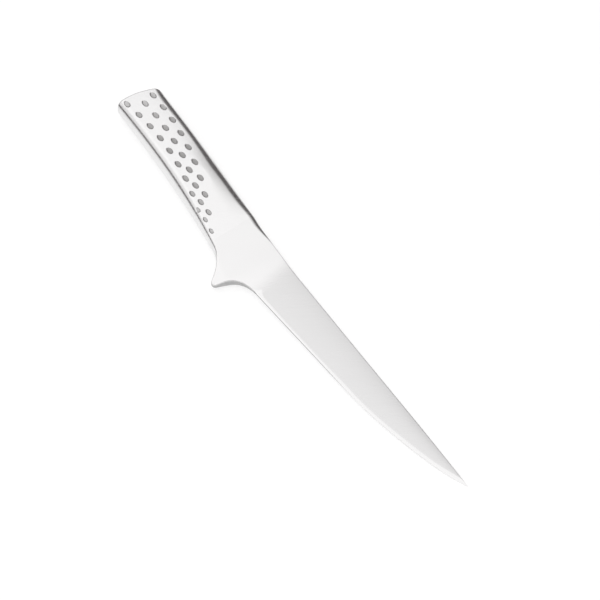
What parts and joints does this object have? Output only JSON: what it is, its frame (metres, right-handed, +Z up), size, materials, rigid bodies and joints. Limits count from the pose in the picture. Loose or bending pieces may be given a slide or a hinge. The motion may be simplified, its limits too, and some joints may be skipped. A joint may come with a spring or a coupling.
{
  "type": "fillet knife",
  "caption": "All-steel fillet knife with a narrow upswept blade, finger guard and hollow welded handle with oval grip dimples.",
  "frame": {"origin": "on the ground under the middle of the knife as it lies on its left side", "axes": "+X from the butt to the tip, +Y toward the spine, +Z up out of the right side of the knife"},
  "size_m": [0.292, 0.0488, 0.0146],
  "materials": {
    "blade_steel": "satin, finely ground across the blade",
    "handle_steel": "satin brushed, dimples matt grey",
    "weld_steel": "weld bead ground flush and brushed",
    "ballast_sand": "packed fine sand"
  },
  "bodies": {
    "root": {"blade": "blade_steel", "handle_shell_right": "handle_steel", "handle_shell_left": "handle_steel", "butt_plate": "handle_steel", "butt_weld": "weld_steel", "bolster_weld": "weld_steel", "spine_seam_weld": "weld_steel", "belly_seam_weld": "weld_steel", "ballast": "ballast_sand"}
  },
  "joints": []
}
